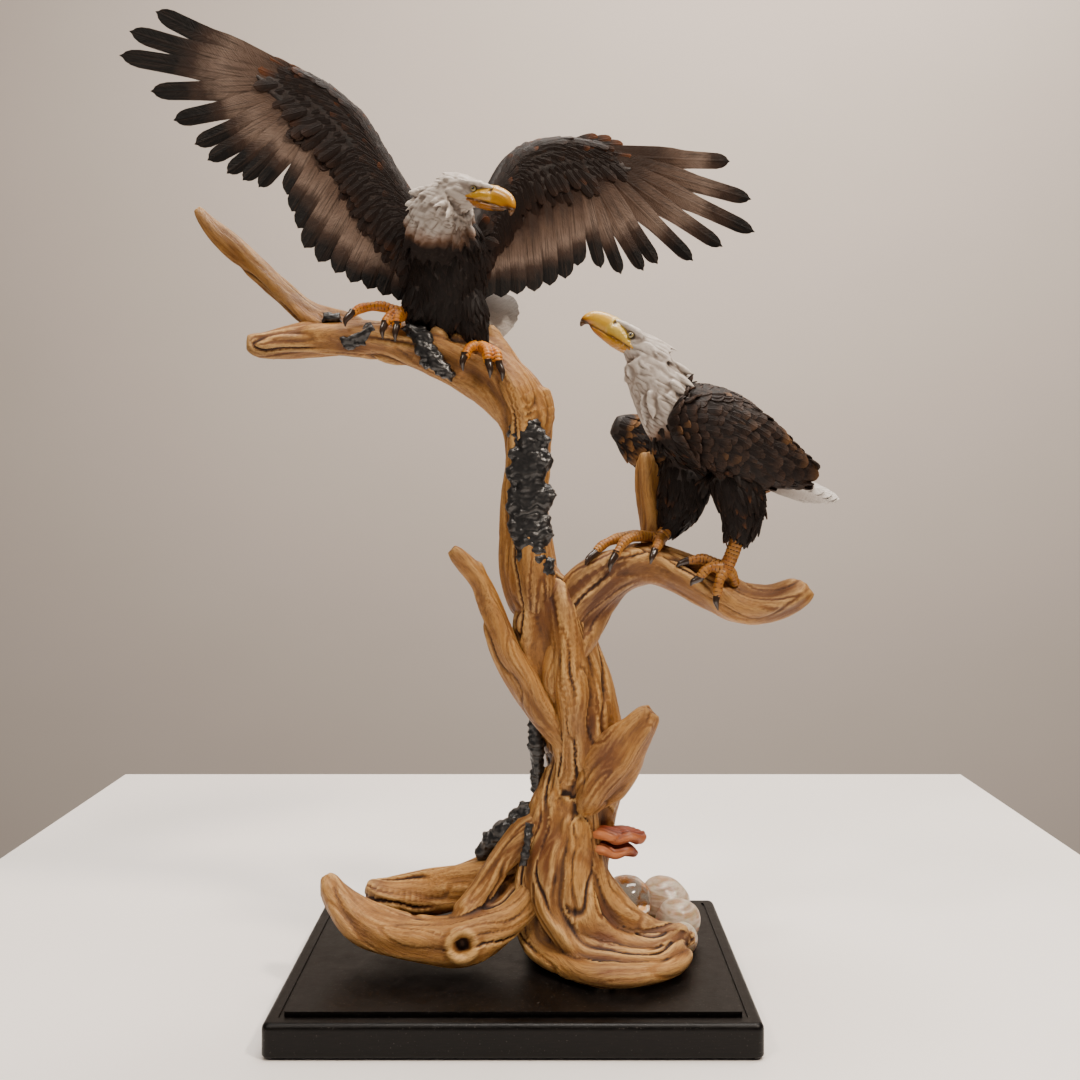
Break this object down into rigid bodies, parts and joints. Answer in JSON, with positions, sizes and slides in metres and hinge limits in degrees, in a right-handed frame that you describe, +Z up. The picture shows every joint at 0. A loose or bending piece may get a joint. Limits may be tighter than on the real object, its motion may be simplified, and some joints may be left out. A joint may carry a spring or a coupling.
{
  "type": "two-eagle statuette",
  "caption": "Painted resin statuette of eagles, one with spread wings, perched on branching driftwood that is screwed to a moulded black plinth.",
  "frame": {"origin": "centre of the felt's underside, on the surface the statuette stands on", "axes": "+Z up, +X to the right seen from the front, -Y towards the viewer (the side that both birds are meant to be seen from)"},
  "size_m": [0.4692, 0.2, 0.6535],
  "materials": {
    "plinth_black": "black satin lacquer on turned and moulded board",
    "felt": "black felt",
    "steel": "zinc plated steel",
    "driftwood": "cast resin, painted and stained like weathered driftwood",
    "bark": "cast resin, charcoal paint with a slight gloss",
    "fungus": "cast resin, red-brown paint",
    "clear_resin": "clear cast resin with orange flecks",
    "frosted_resin": "translucent cream and brown resin",
    "white_feathers": "cast resin, white paint with grey shading",
    "dark_feathers": "cast resin, near-black brown paint",
    "wing_feathers": "cast resin, brown paint with beige band and black tips",
    "beak_yellow": "cast resin, yellow paint, semi-gloss",
    "eye_gloss": "pale yellow eye with black pupil, gloss",
    "claw_black": "dark brown horn, semi-gloss",
    "foot_orange": "cast resin, orange-yellow paint"
  },
  "bodies": {
    "root": {"bark_back_root": "bark", "bark_foot_strip": "bark", "bark_limb_left": "bark", "bark_limb_middle": "bark", "bark_limb_top": "bark", "bark_trunk_side": "bark", "bark_upper_limb": "bark", "base_felt": "felt", "base_screws": "steel", "base_washers": "steel", "driftwood_left_spur": "driftwood", "driftwood_log_root": "driftwood", "driftwood_perch_stub": "driftwood", "driftwood_right_limb": "driftwood", "driftwood_right_stub": "driftwood", "driftwood_trunk": "driftwood", "driftwood_upper_limb": "driftwood", "driftwood_upper_prong": "driftwood", "fungus_lower": "fungus", "fungus_upper": "fungus", "lower_bird_beak": "beak_yellow", "lower_bird_eyes": "eye_gloss", "lower_bird_far_claws": "claw_black", "lower_bird_far_foot": "foot_orange", "lower_bird_far_wing": "wing_feathers", "lower_bird_head": "white_feathers", "lower_bird_near_claws": "claw_black", "lower_bird_near_foot": "foot_orange", "lower_bird_near_wing": "wing_feathers", "lower_bird_tail": "white_feathers", "lower_bird_torso": "dark_feathers", "pebble_back": "frosted_resin", "pebble_clear": "clear_resin", "pebble_front": "frosted_resin", "pebble_right": "frosted_resin", "plinth": "plinth_black", "right_limb_dowel": "steel", "trunk_dowel": "steel", "upper_bird_beak": "beak_yellow", "upper_bird_eyes": "eye_gloss", "upper_bird_head": "white_feathers", "upper_bird_left_claws": "claw_black", "upper_bird_left_foot": "foot_orange", "upper_bird_left_wing": "wing_feathers", "upper_bird_left_wing_pin": "steel", "upper_bird_right_claws": "claw_black", "upper_bird_right_foot": "foot_orange", "upper_bird_right_wing": "wing_feathers", "upper_bird_right_wing_pin": "steel", "upper_bird_tail": "white_feathers", "upper_bird_torso": "dark_feathers"}
  },
  "joints": []
}
